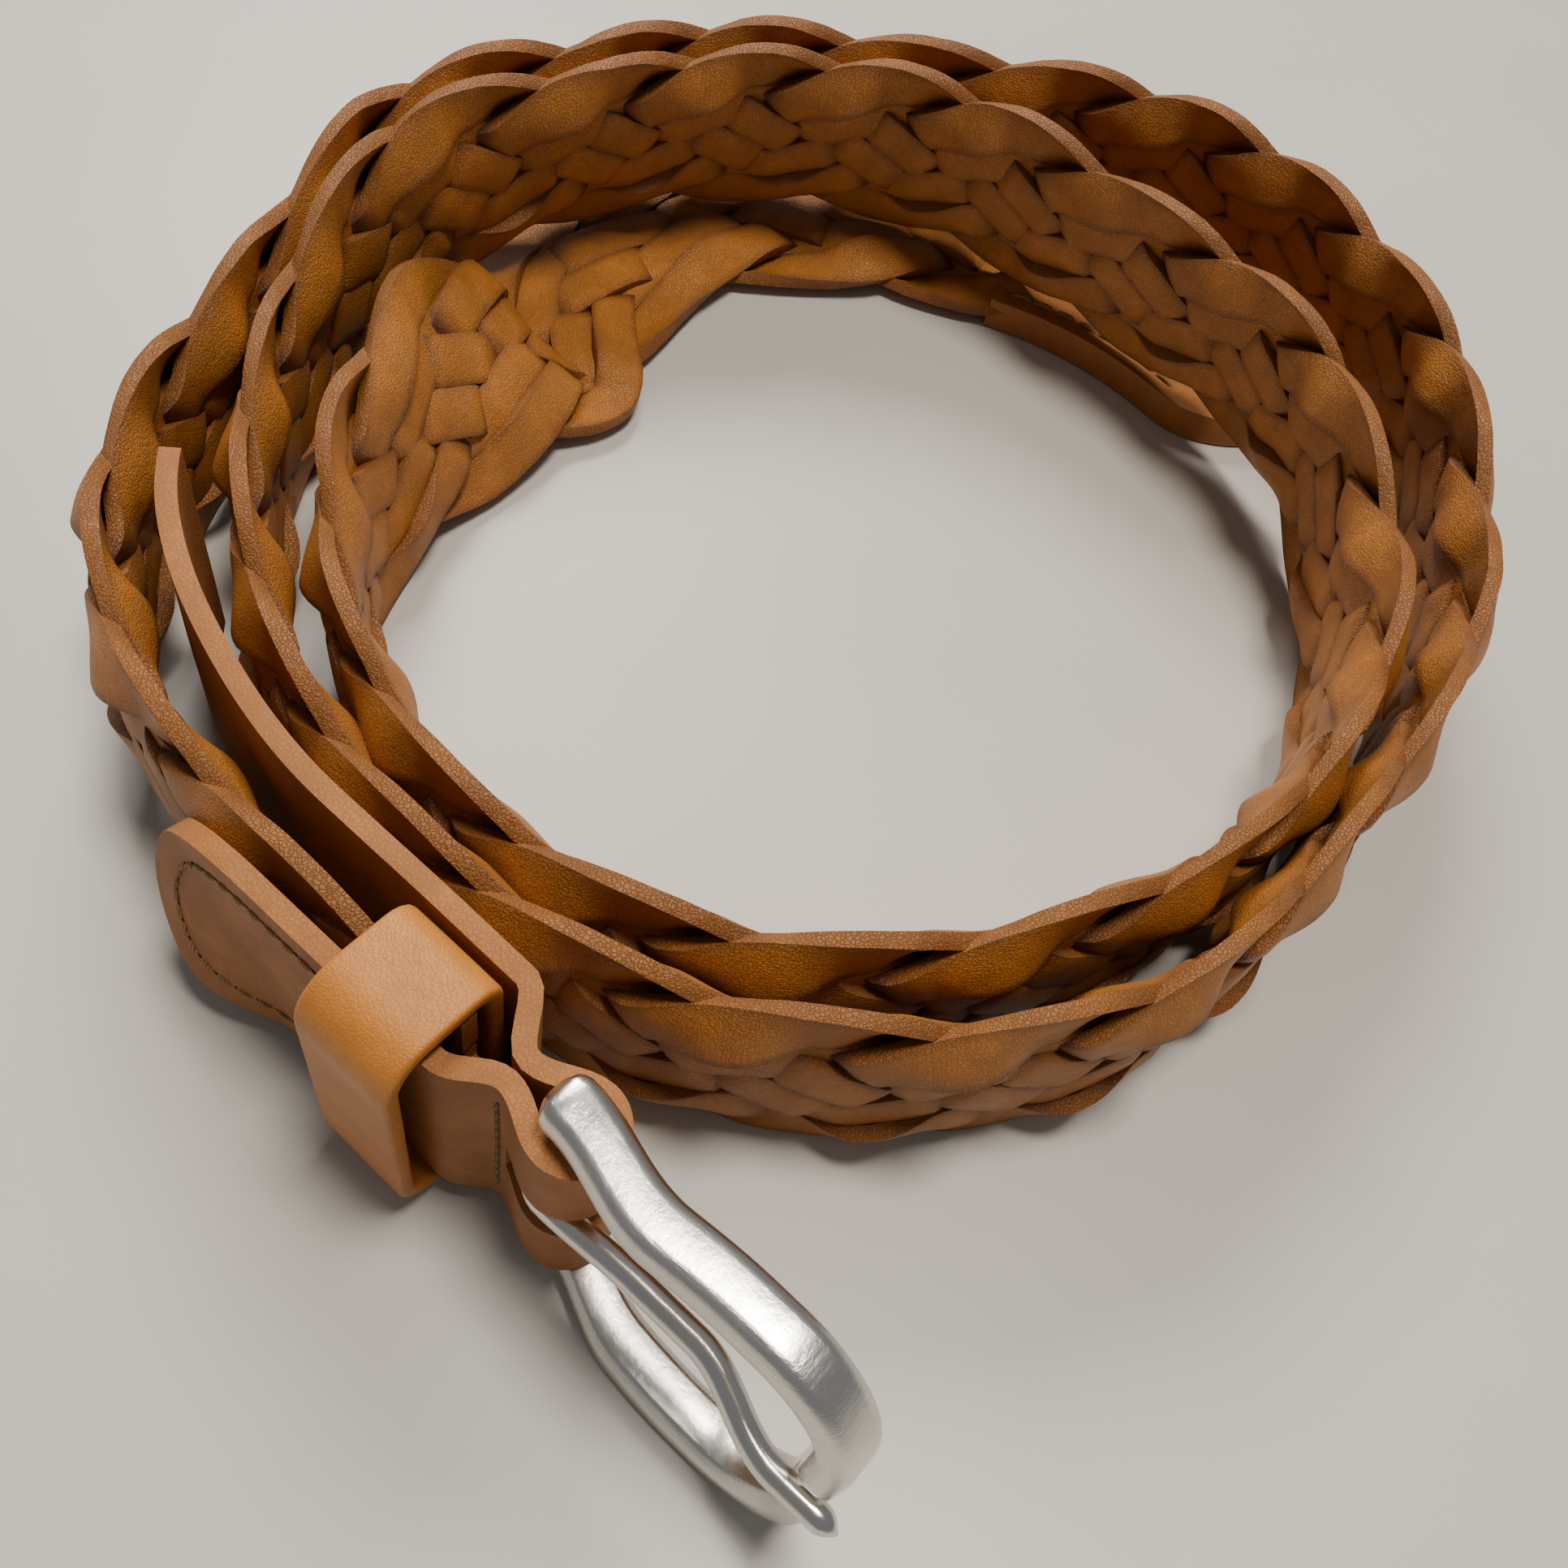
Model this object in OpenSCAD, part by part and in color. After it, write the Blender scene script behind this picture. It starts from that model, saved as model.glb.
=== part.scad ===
// Braided leather dress belt, coiled on edge, with a plain metal buckle.
// Units are millimetres. Z is up, the origin is the middle of the whole belt's
// outline on the table, and the buckle lies at the front, towards -Y.

/* [Belt] */
// Width of the braided belt
belt_width = 32; // [25:0.5:40]
// Size of the whole coil, as a ratio of the drawn route
coil_scale = 1; // [0.8:0.01:1.25]
// Thickness of the finished braid
braid_thickness = 5.8; // [4.8:0.1:7]

/* [Strands] */
// Breadth of one plain strand
strand_breadth = 3.8; // [3.1:0.1:4.6]
// Thickness of one plain strand
strand_thickness = 1.4; // [1.1:0.1:1.7]
// Length of one full weave of a strand, from top edge to top edge
weave_length = 95.4; // [80:0.5:115]

/* [Buckle strap] */
// Thickness of the strap leather
strap_thickness = 2.4; // [1.9:0.1:2.9]
// Length of the outer tab from the buckle bar
outer_tab_length = 53; // [48:1:64]
// Length of the inner tab from the buckle bar
inner_tab_length = 95; // [80:1:114]
// Room round the bar inside the strap's fold
eye_room = 1; // [0.4:0.1:1.4]
// Corner radius of the outer tab's end
tab_corner = 12; // [6:0.5:14]
// Distance from the bar at which the keeper starts
keeper_place = 13.2; // [12.2:0.2:16]
// Length of the keeper along the belt
keeper_length = 12.6; // [10.4:0.2:15.2]
// Free gap under the keeper for the belt's tip
keeper_gap = 5.9; // [5.2:0.1:7.1]

/* [Buckle] */
// Reach of the buckle from its bar to its nose
buckle_reach = 37; // [31:0.5:44]
// Width of the buckle's metal seen from the front
buckle_rim = 4.2; // [3.5:0.1:5.1]
// Thickness of the buckle's metal
buckle_thickness = 6; // [5:0.1:7.2]
// Diameter of the bar
bar_diameter = 3.2; // [2.6:0.1:3.8]
// Diameter of the prong
prong_diameter = 3; // [2.4:0.1:3.4]

/* [Tip] */
// Length of the leather tip past the end of the braid
tip_length = 36; // [30:1:43]

/* [Hidden] */

strand_count = 8;
rings_per_weave = 16;
half_braid = braid_thickness / 2;
start_angle = 243;
key_step = 30;
chape_straight = 40;
clear = 0.3;
thread_radius = 0.45;
stitch_pitch = 3.6;
stitch_length = 2.7;
stitch_sink = 0.15;

// Radius of the coil's route at every key_step degrees of travel.
route_radii = [91, 90.5, 80, 79, 78.5, 79, 91.5, 91, 82, 76,
               81, 81.5, 78.5, 75.5, 73.5, 72.5, 72, 70.5, 66, 70.5,
               70.5, 69.8, 70.5, 74, 72, 64, 46, 38, 54, 58.5,
               64, 67, 70, 72];
// Height of the belt's lower edge above the table along the travel.
lift_keys = [[0, 1], [20, 0.8], [40, 0.3], [55, 0.05], [65, 0.1], [75, 0.5],
             [85, 0.92], [92, 1], [205, 1], [213, 0.92], [222, 0.5],
             [232, 0.08], [240, 0], [408, 0], [417, 0.08], [427, 0.5],
             [437, 0.92], [444, 1], [565, 1], [573, 0.92], [582, 0.5],
             [592, 0.08], [600, 0]];
// Outward lean of the belt: both turns tip inwards where they ride over the
// tail at the back, and the tail itself lies down flat.
back_lean = -14;
lean_keys = [[80, 0], [92, back_lean / 2], [105, back_lean], [205, back_lean],
             [222, back_lean / 2], [240, 0], [440, 0], [452, back_lean / 2],
             [465, back_lean], [565, back_lean], [582, back_lean / 2], [600, 0],
             [730, 0], [750, 4], [765, 17], [780, 40], [793, 66], [802, 84],
             [808, 90]];
tail_clear = braid_thickness + 1;
chape_lift = buckle_rim + 0.1;
travel_end = 896;

function route_radius(t) =
    let (i = floor(t / key_step))
    let (u = t / key_step - i)
    let (a = i < 1 ? route_radii[1] : route_radii[i - 1])
    let (b = route_radii[i])
    let (c = route_radii[i + 1])
    let (d = route_radii[i + 2])
    coil_scale * 0.5 * (2 * b + (c - a) * u
        + (2 * a - 5 * b + 4 * c - d) * u * u
        + (3 * b - a - 3 * c + d) * u * u * u);

// Each turn moves in by what the braid gains over the thickness of the drawn route.
drawn_thickness = 5.8;
function turn_gain(t) = t / 360 * (braid_thickness - drawn_thickness);
function route_at(t) =
    (route_radius(t) - turn_gain(t)) * [cos(start_angle - t), sin(start_angle - t)];

table_step = 3;
table_count = ceil((travel_end + 43) / table_step);
arc_table = [
    for (i = 0, s = 0;
         i <= table_count;
         i = i + 1,
         s = s + norm(route_at(i * table_step) - route_at((i - 1) * table_step)))
        [s, i * table_step]
];

// The coil's centre, seen from the origin.
coil_centre = [-0.88, 15.18];
start_heading = [cos(start_angle - 90), sin(start_angle - 90)];
function travel(s) = s < 0 ? s : lookup(s, arc_table);
function centre(s) = coil_centre
    + (s < 0 ? route_at(0) + s * start_heading : route_at(travel(s)));
function heading(s) =
    let (d = centre(s + 0.6) - centre(s - 0.6))
    d / norm(d);
function outward(s) = let (h = heading(s)) [-h.y, h.x];
function lift(t) =
    let (f = lookup(t, lift_keys))
    t < 60 ? f * chape_lift : f * tail_clear;
function lean(t) = lookup(t, lean_keys);

// A point of the belt: distance along it, height across it, offset outwards.
function on_belt(s, w, n) =
    let (t = travel(s))
    let (a = lean(t))
    let (c = centre(s))
    let (o = outward(s))
    let (r = w * sin(a) + n * cos(a))
    [c.x + o.x * r, c.y + o.y * r,
     lift(t) + w * cos(a) + half_braid * abs(sin(a)) - n * sin(a)];

// Inward and outward offsets of a strand at the sixteen steps of its weave.
rise_edge = half_braid - strand_thickness / 2 - 0.15;
rise_over = rise_edge - 0.05;
tuck = 0.9;
even_steps = [1, 1, -tuck, 1, -1, 1, -tuck, 1, 1, 1, 1, -1, 1, -1, 1, 1];
odd_steps = [-1, -1, -1, 1, -1, 1, -1, -1, -1, -1, tuck, -1, 1, -1, tuck, -1];
function weave_offset(k, q) =
    let (steps = k % 2 == 0 ? even_steps : odd_steps)
    steps[q] * (abs(q % 8 - 4) <= 1 ? rise_over : rise_edge);

weave_step = weave_length / rings_per_weave;
braid_start = -chape_straight + 13.5;
braid_end = lookup(travel_end, [for (e = arc_table) [e[1], e[0]]]);
ring_count = floor((braid_end - braid_start) / weave_step);
weave_swing = (belt_width - strand_breadth) / 2;

function strand_ring(k, i) =
    let (q = (i + 2 * k) % rings_per_weave)
    let (s = braid_start + i * weave_step)
    let (turn = 360 * q / rings_per_weave)
    let (slope = -weave_swing * sin(turn) * 2 * PI / weave_length)
    let (len = sqrt(1 + slope * slope))
    let (w = belt_width / 2 + weave_swing * cos(turn))
    let (n = -weave_offset(k, q))
    let (ds = slope * strand_breadth / 2 / len)
    let (dw = strand_breadth / 2 / len)
    let (dn = strand_thickness / 2)
    [on_belt(s + ds, w - dw, n - dn), on_belt(s - ds, w + dw, n - dn),
     on_belt(s - ds, w + dw, n + dn), on_belt(s + ds, w - dw, n + dn)];

// A closed solid through equal rings of points.
module skin(rings) {
    m = len(rings[0]);
    last = len(rings) - 1;
    points = [for (ring = rings) for (p = ring) p];
    sides = [for (i = [0 : last - 1]) for (j = [0 : m - 1])
        let (a = i * m + j)
        let (b = i * m + (j + 1) % m)
        for (f = [[a, b, a + m], [b, b + m, a + m]]) f];
    front = [for (j = [1 : m - 2]) [0, j + 1, j]];
    back = [for (j = [1 : m - 2]) [last * m, last * m + j, last * m + j + 1]];
    polyhedron(points = points, faces = concat(sides, front, back));
}

module strand(k) {
    color([0.62, 0.36, 0.17])
    skin([for (i = [0 : ring_count]) strand_ring(k, i)]);
}

module strand_1() { strand(0); }
module strand_2() { strand(1); }
module strand_3() { strand(2); }
module strand_4() { strand(3); }
module strand_5() { strand(4); }
module strand_6() { strand(5); }
module strand_7() { strand(6); }
module strand_8() { strand(7); }

// Buckle strap. Offsets are measured outwards from the braid's middle.
fold_radius = bar_diameter / 2 + eye_room + strap_thickness / 2;
pinch_place = 7.2;
pinch_offset = strap_thickness / 2 + 0.15;
outer_tab_offset = half_braid + clear + strap_thickness / 2;
keeper_wall = 2;
keeper_inner = half_braid + clear;
inner_tab_offset = -(keeper_inner + keeper_wall + clear + strap_thickness / 2);
inner_tab_run = -(inner_tab_offset - 1.2);
strap_height = belt_width - 1;
strap_z = chape_lift + 0.5;
strap_mid = strap_z + strap_height / 2;
bar_s = -chape_straight;
slot_height = prong_diameter + 3;
slot_run = 5.2;

function strap_point(s, n) = centre(s) + n * outward(s);
function blend(a, b, u) = a + (b - a) * (0.5 - 0.5 * cos(180 * max(0, min(1, u))));
function strap_spread(d, far) = d < pinch_place
    ? blend(fold_radius, pinch_offset, d / pinch_place)
    : blend(pinch_offset, far, (d - pinch_place) / (keeper_place - pinch_place));
function inner_run(d) = d < keeper_place
    ? -strap_spread(d, -inner_tab_offset)
    : blend(inner_tab_offset, -inner_tab_run, (d - 40) / 30);
outer_stations = concat([for (d = [outer_tab_length : -2.5 : keeper_place + 0.6]) d],
                        [for (d = [keeper_place : -0.8 : 0.4]) d]);
inner_stations = concat([for (d = [0.4 : 0.8 : keeper_place]) d],
                        [for (d = [keeper_place + 1 : 3 : inner_tab_length]) d]);
outer_path = [for (d = outer_stations)
    strap_point(bar_s + d, strap_spread(d, outer_tab_offset))];
fold_path = [for (a = [90 : 15 : 270])
    strap_point(bar_s + fold_radius * cos(a), fold_radius * sin(a))];
inner_path = [for (d = inner_stations) strap_point(bar_s + d, inner_run(d))];
strap_path = concat(outer_path, fold_path, inner_path);

function path_side(path, i) =
    let (a = path[max(0, i - 1)])
    let (b = path[min(len(path) - 1, i + 1)])
    let (d = (b - a) / norm(b - a))
    [-d.y, d.x];
function skive(i, count) = min(1, 0.45 + 0.08 * (count - 1 - i));

module strap_band() {
    count = len(strap_path);
    half = strap_thickness / 2;
    left = [for (i = [0 : count - 1])
        strap_path[i] + path_side(strap_path, i) * half];
    right = [for (i = [count - 1 : -1 : 0])
        strap_path[i] - path_side(strap_path, i) * half * skive(i, count)];
    translate([0, 0, strap_z])
    linear_extrude(height = strap_height)
    polygon(concat(left, right));
}

// Places a child whose X runs along the belt and Z runs outwards.
module at_belt(s, w, n) {
    h = heading(s);
    o = outward(s);
    c = centre(s) + n * o;
    multmatrix([[h.x, 0, o.x, c.x], [h.y, 0, o.y, c.y], [0, 1, 0, w], [0, 0, 0, 1]])
    children();
}

module corner_cutter(flip) {
    far = outer_tab_length - tab_corner;
    depth = strap_thickness * 3;
    at_belt(bar_s + far, flip > 0 ? strap_z + strap_height - tab_corner
                                  : strap_z + tab_corner, outer_tab_offset)
    scale([1, flip, 1])
    translate([0, 0, -depth / 2])
    difference() {
        cube([tab_corner * 2, tab_corner * 2, depth]);
        translate([0, 0, -1])
        cylinder(r = tab_corner, h = depth + 2, $fn = 48);
    }
}

module chape_strap() {
    slot_reach = fold_radius + strap_thickness;
    color([0.55, 0.35, 0.2])
    difference() {
        strap_band();
        corner_cutter(1);
        corner_cutter(-1);
        at_belt(bar_s, strap_mid, 0)
        translate([-slot_reach, -slot_height / 2, -slot_reach])
        cube([slot_reach + slot_run, slot_height, slot_reach * 2]);
    }
}

module stitch(s, w, n, along) {
    at_belt(s, w, n + thread_radius - stitch_sink)
    rotate([0, 90, along ? 0 : 90])
    translate([0, 0, -stitch_length / 2])
    cylinder(r = thread_radius, h = stitch_length, $fn = 16);
}

tab_face = outer_tab_offset + strap_thickness / 2;
seam_inset = 3.6;
seam_start = keeper_place + keeper_length + 2.5;
seam_end = outer_tab_length - seam_inset - 2;
seam_low = strap_z + seam_inset;
seam_high = strap_z + strap_height - seam_inset;

module tab_stitching() {
    count = floor((seam_high - seam_low - 6) / stitch_pitch);
    middle = (seam_high + seam_low) / 2;
    color([0.8, 0.7, 0.52]) {
        for (s = [seam_start : stitch_pitch : seam_end - 3]) {
            stitch(bar_s + s, seam_low, tab_face, true);
            stitch(bar_s + s, seam_high, tab_face, true);
        }
        for (i = [0 : count])
            stitch(bar_s + seam_end, middle + (i - count / 2) * stitch_pitch,
                   tab_face, false);
    }
}

module fold_stitching() {
    count = floor((seam_high - seam_low) / stitch_pitch);
    middle = (seam_high + seam_low) / 2;
    color([0.8, 0.7, 0.52])
    for (i = [0 : count])
        stitch(bar_s + pinch_place, middle + (i - count / 2) * stitch_pitch,
               pinch_offset + strap_thickness / 2, false);
}

keeper_low = -keeper_inner;
keeper_high = tab_face + keeper_gap;
module keeper_outline(grow, corner) {
    width = keeper_high - keeper_low + 2 * grow;
    height = belt_width + 1 + 2 * grow;
    translate([(keeper_high + keeper_low) / 2, 0])
    offset(r = corner, $fn = 24)
    square([width - 2 * corner, height - 2 * corner], center = true);
}

module keeper_loop() {
    color([0.68, 0.42, 0.22])
    at_belt(bar_s + keeper_place, strap_mid, 0)
    rotate([0, 90, 0])
    rotate([0, 0, 180])
    linear_extrude(height = keeper_length)
    difference() {
        keeper_outline(keeper_wall, 3);
        keeper_outline(0, 1.5);
    }
}

// Buckle: a bowed open frame whose two arms hold the bar.
rim_low = strap_z - 0.6 - buckle_rim / 2;
rim_high = strap_z + strap_height + 0.6 + buckle_rim / 2;
rim_nose = buckle_reach - buckle_rim / 2;
rim_corner = 10;
bow_height = 3.2;
bow_run = 14;
function rim_bow(d) = blend(0, bow_height, (d + 1) / bow_run);
rim_path = concat(
    [for (d = [-3 : 3 : rim_nose - rim_corner - 1]) [d, rim_low]],
    [for (a = [270 : 15 : 360])
        [rim_nose - rim_corner + rim_corner * cos(a),
         rim_low + rim_corner + rim_corner * sin(a)]],
    [for (h = [-4, -2.6, 2.6, 4]) [rim_nose, strap_mid + h]],
    [for (a = [0 : 15 : 90])
        [rim_nose - rim_corner + rim_corner * cos(a),
         rim_high - rim_corner + rim_corner * sin(a)]],
    [for (d = [floor((rim_nose - rim_corner - 1) / 3) * 3 : -3 : -3]) [d, rim_high]]);

notch_depth = 1.6;
function notch(p) =
    p.x > rim_nose - 1 && abs(p.y - strap_mid) < 3 ? notch_depth : 0;

function rim_ring(i) =
    let (p = rim_path[i])
    let (side = path_side(rim_path, i))
    let (e = buckle_rim / 2)
    let (f = buckle_thickness / 2)
    let (cut = 1)
    let (g = f - notch(p))
    let (profile = [[-e, -f + cut], [-e, g - cut], [-e + cut, g], [e - cut, g],
                    [e, g - cut], [e, -f + cut], [e - cut, -f], [-e + cut, -f]])
    [for (c = profile)
        let (d = p.x + side.x * c[0])
        let (z = p.y + side.y * c[0])
        let (place = centre(bar_s - d) + outward(bar_s) * (c[1] + rim_bow(d)))
        [place.x, place.y, z]];

module buckle_frame() {
    color([0.72, 0.71, 0.68])
    skin([for (i = [0 : len(rim_path) - 1]) rim_ring(i)]);
}

module buckle_bar() {
    length = rim_high - rim_low + buckle_rim - 2;
    place = centre(bar_s);
    color([0.66, 0.65, 0.62])
    translate([place.x, place.y, rim_low - buckle_rim / 2 + 1])
    cylinder(d = bar_diameter, h = length, $fn = 48);
}

// Prong: a hook round the bar and a bent finger that rests on the nose.
prong_ring = bar_diameter / 2 + 0.15 + prong_diameter / 2;
prong_rest = rim_bow(rim_nose) + buckle_thickness / 2 - notch_depth
    + prong_diameter / 2 + 0.15;
prong_path = concat(
    [for (a = [330 : -15 : 90]) [prong_ring * cos(a), prong_ring * sin(a)]],
    [for (d = [6 : 3 : buckle_reach + 1])
        [d, prong_ring + 1.2 * sin(9 * (d - 4)) * (d < 24 ? 1 : 0)
            + (prong_rest - prong_ring) * (0.5 - 0.5 * cos(180 * min(1, d / 30)))]]);
prong_sides = 12;
function prong_turn(i) =
    let (a = prong_path[max(0, i - 1)])
    let (b = prong_path[min(len(prong_path) - 1, i + 1)])
    (b - a) / norm(b - a);
function prong_radius(i) =
    prong_diameter / 2 * (i > len(prong_path) - 3 ? 0.82 : 1);
function prong_point(d, n, z) =
    let (g = centre(bar_s - d) + outward(bar_s) * n)
    [g.x, g.y, z];

module prong() {
    color([0.7, 0.69, 0.66])
    skin([for (i = [0 : len(prong_path) - 1])
        let (h = prong_turn(i))
        let (p = prong_path[i])
        [for (j = [0 : prong_sides - 1])
            let (a = 360 * j / prong_sides)
            let (r = prong_radius(i))
            prong_point(p.x - h.y * r * cos(a), p.y + h.x * r * cos(a),
                        strap_mid + r * sin(a))]]);
}

// Leather tip at the tail: it takes the strand ends and lies on the table.
tip_start = braid_start + ring_count * weave_step - 7;
tip_half = half_braid;
tip_width = belt_width - 1;
function tip_taper(d) = d < tip_length - 10 ? 1
    : 0.5 + 0.5 * sqrt(max(0, 1 - pow((d - tip_length + 10) / 10.5, 2)));
tip_stations = [for (d = [0 : 3 : tip_length + 7]) d];

module tip_tab() {
    color([0.6, 0.37, 0.19])
    skin([for (d = tip_stations)
        let (half = tip_width / 2 * tip_taper(d - 7))
        let (mid = belt_width / 2)
        let (s = tip_start + d)
        [on_belt(s, mid - half, -tip_half), on_belt(s, mid + half, -tip_half),
         on_belt(s, mid + half, tip_half), on_belt(s, mid - half, tip_half)]]);
}

module tip_stitching() {
    inset = 3.5;
    color([0.8, 0.7, 0.52])
    for (d = [9 : stitch_pitch : tip_length - 3])
        for (w = [inset, belt_width - inset]) {
            a = on_belt(tip_start + d, w, -tip_half - thread_radius / 3);
            b = on_belt(tip_start + d + stitch_length, w, -tip_half - thread_radius / 3);
            turn = atan2(b.y - a.y, b.x - a.x);
            translate(a)
            rotate([0, 90, turn])
            cylinder(r = thread_radius, h = norm(b - a), $fn = 16);
        }
}

strand_1();
strand_2();
strand_3();
strand_4();
strand_5();
strand_6();
strand_7();
strand_8();
chape_strap();
tab_stitching();
fold_stitching();
keeper_loop();
buckle_frame();
buckle_bar();
prong();
tip_tab();
tip_stitching();
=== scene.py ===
import math
from bisect import bisect_right

import bpy
from bpy.props import FloatProperty, FloatVectorProperty, PointerProperty
from mathutils import Matrix, Vector, noise


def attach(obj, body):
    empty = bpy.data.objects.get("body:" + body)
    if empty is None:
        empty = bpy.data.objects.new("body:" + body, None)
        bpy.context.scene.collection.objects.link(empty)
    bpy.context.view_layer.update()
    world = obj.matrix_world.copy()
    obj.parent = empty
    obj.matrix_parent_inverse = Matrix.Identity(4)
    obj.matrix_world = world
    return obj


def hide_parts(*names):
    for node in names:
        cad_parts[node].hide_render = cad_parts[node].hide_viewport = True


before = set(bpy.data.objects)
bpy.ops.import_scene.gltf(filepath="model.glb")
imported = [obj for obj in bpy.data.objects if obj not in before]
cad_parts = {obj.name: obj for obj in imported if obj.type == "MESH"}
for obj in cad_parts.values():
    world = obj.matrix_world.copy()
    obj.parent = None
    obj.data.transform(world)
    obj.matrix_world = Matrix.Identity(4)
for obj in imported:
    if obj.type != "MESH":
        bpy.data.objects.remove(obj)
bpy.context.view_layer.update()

bl_info = {
    "name": "Braided leather belt",
    "version": (1, 0, 0),
    "blender": (4, 5, 0),
    "location": "View3D > Sidebar > Belt",
    "description": "Weaves a coiled leather belt with its strap, keeper and buckle",
    "category": "Object",
}

MM = 0.001

# ---------------------------------------------------------------- the route
START_ANGLE = 243.0
KEY_STEP = 30.0
# Radius of the coil in millimetres, at every KEY_STEP degrees of travel.
ROUTE_RADII = [91, 90.5, 80, 79, 78.5, 79, 91.5, 91, 82, 76,
               81, 81.5, 78.5, 75.5, 73.5, 72.5, 72, 70.5, 66, 70.5,
               70.5, 69.8, 70.5, 74, 72, 64, 46, 38, 54, 58.5,
               64, 67, 70, 72]
# Degrees of travel, with the share of the belt's full lift off the table.
LIFT_KEYS = [(0, 1), (20, 0.8), (40, 0.3), (55, 0.05), (65, 0.1), (75, 0.5),
             (85, 0.92), (92, 1), (205, 1), (213, 0.92), (222, 0.5),
             (232, 0.08), (240, 0), (408, 0), (417, 0.08), (427, 0.5),
             (437, 0.92), (444, 1), (565, 1), (573, 0.92), (582, 0.5),
             (592, 0.08), (600, 0)]
# Degrees of travel, with the outward lean of the belt's top in degrees.
LEAN_KEYS = [(80, 0), (92, -7), (105, -14), (205, -14), (222, -7), (240, 0),
             (440, 0), (452, -7), (465, -14), (565, -14), (582, -7), (600, 0),
             (730, 0), (750, 4), (765, 17), (780, 40), (793, 66), (802, 84),
             (808, 90)]
COIL_CENTRE = (-0.88, 15.18)
TRAVEL_END = 896.0
BAR = -40.0
HALF_BRAID = 2.9
CHAPE_LIFT = 4.3
TAIL_CLEAR = 6.8
CHAPE_TRAVEL = 60.0
ARC_STEP = 3.0
ARC_COUNT = 314
HEADING_STEP = 1.5


def ramp(keys, x):
    """Straight-line reading of a short list of keys."""
    if x <= keys[0][0]:
        return keys[0][1]
    for (a, fa), (b, fb) in zip(keys, keys[1:]):
        if x <= b:
            return fa + (fb - fa) * (x - a) / (b - a)
    return keys[-1][1]


def route_radius(t):
    """A smooth curve through the radii, at an angle of travel in degrees."""
    i = int(t // KEY_STEP)
    u = t / KEY_STEP - i
    a = ROUTE_RADII[1 if i < 1 else i - 1]
    b, c, d = ROUTE_RADII[i:i + 3]
    return 0.5 * (2 * b + (c - a) * u
                  + (2 * a - 5 * b + 4 * c - d) * u * u
                  + (3 * b - a - 3 * c + d) * u ** 3)


def route_at(t):
    r = route_radius(t)
    a = math.radians(START_ANGLE - t)
    return r * math.cos(a), r * math.sin(a)


def arc_table():
    """Length of the route at every ARC_STEP degrees of travel."""
    table = [0.0]
    last = route_at(0)
    for i in range(1, ARC_COUNT):
        here = route_at(i * ARC_STEP)
        table.append(table[-1] + math.dist(last, here))
        last = here
    return table


ARC = arc_table()
HEAD = (math.cos(math.radians(START_ANGLE - 90)),
        math.sin(math.radians(START_ANGLE - 90)))


def travel(s):
    """Degrees of travel at a distance along the belt."""
    if s < 0:
        return s
    i = min(bisect_right(ARC, s) - 1, len(ARC) - 2)
    return ARC_STEP * (i + (s - ARC[i]) / (ARC[i + 1] - ARC[i]))


def centre(s):
    if s < 0:
        x, y = route_at(0)
        x, y = x + s * HEAD[0], y + s * HEAD[1]
    else:
        x, y = route_at(travel(s))
    return x + COIL_CENTRE[0], y + COIL_CENTRE[1]


def frame_at(s):
    """Place, heading and outward direction of the belt at a distance along it."""
    ax, ay = centre(s - HEADING_STEP)
    bx, by = centre(s + HEADING_STEP)
    d = math.hypot(bx - ax, by - ay)
    hx, hy = (bx - ax) / d, (by - ay) / d
    cx, cy = centre(s)
    return cx, cy, hx, hy, -hy, hx


def on_belt(s, w, n):
    """A point of the belt in metres: along, up its width, outwards."""
    t = travel(s)
    a = math.radians(ramp(LEAN_KEYS, t))
    cx, cy, hx, hy, ox, oy = frame_at(s)
    lift = ramp(LIFT_KEYS, t) * (CHAPE_LIFT if t < CHAPE_TRAVEL else TAIL_CLEAR)
    r = w * math.sin(a) + n * math.cos(a)
    z = lift + w * math.cos(a) + HALF_BRAID * abs(math.sin(a)) - n * math.sin(a)
    return Vector((cx + ox * r, cy + oy * r, z)) * MM


def at_bar(d, n, z):
    """A point in metres: distance from the bar along the belt, outwards, up."""
    cx, cy, hx, hy, ox, oy = frame_at(BAR + d)
    return Vector((cx + ox * n, cy + oy * n, z)) * MM


def ease(a, b, u):
    """From a to b with a slow start and a slow end, as u goes from 0 to 1."""
    u = max(0.0, min(1.0, u))
    return a + (b - a) * (0.5 - 0.5 * math.cos(math.pi * u))


# ------------------------------------------------------------ making meshes
def deselect():
    if bpy.context.object and bpy.context.object.mode != "OBJECT":
        bpy.ops.object.mode_set(mode="OBJECT")
    bpy.ops.object.select_all(action="DESELECT")


def only(piece):
    """Selects one piece and makes it the active one."""
    deselect()
    piece.select_set(True)
    bpy.context.view_layer.objects.active = piece


def grid_piece(name, nu, nv, place, stretch=(1.0, 1.0)):
    """A grid laid by place(u, v), with a UV map in metres along the piece."""
    deselect()
    bpy.ops.mesh.primitive_grid_add(x_subdivisions=nu, y_subdivisions=nv, size=2)
    piece = bpy.context.active_object
    piece.name = name
    mesh = piece.data
    mesh.name = name
    spots = [((v.co.x + 1) / 2, (v.co.y + 1) / 2) for v in mesh.vertices]
    layer = mesh.uv_layers.active.data
    for loop in mesh.loops:
        u, v = spots[loop.vertex_index]
        layer[loop.index].uv = (u * stretch[0], v * stretch[1])
    for vertex, (u, v) in zip(mesh.vertices, spots):
        vertex.co = place(u, v)
    mesh.update()
    return piece, spots


def add_modifier(piece, kind, **values):
    modifier = piece.modifiers.new(kind.title(), kind)
    for key, value in values.items():
        setattr(modifier, key, value)
    only(piece)
    bpy.ops.object.modifier_apply(modifier=modifier.name)


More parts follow.
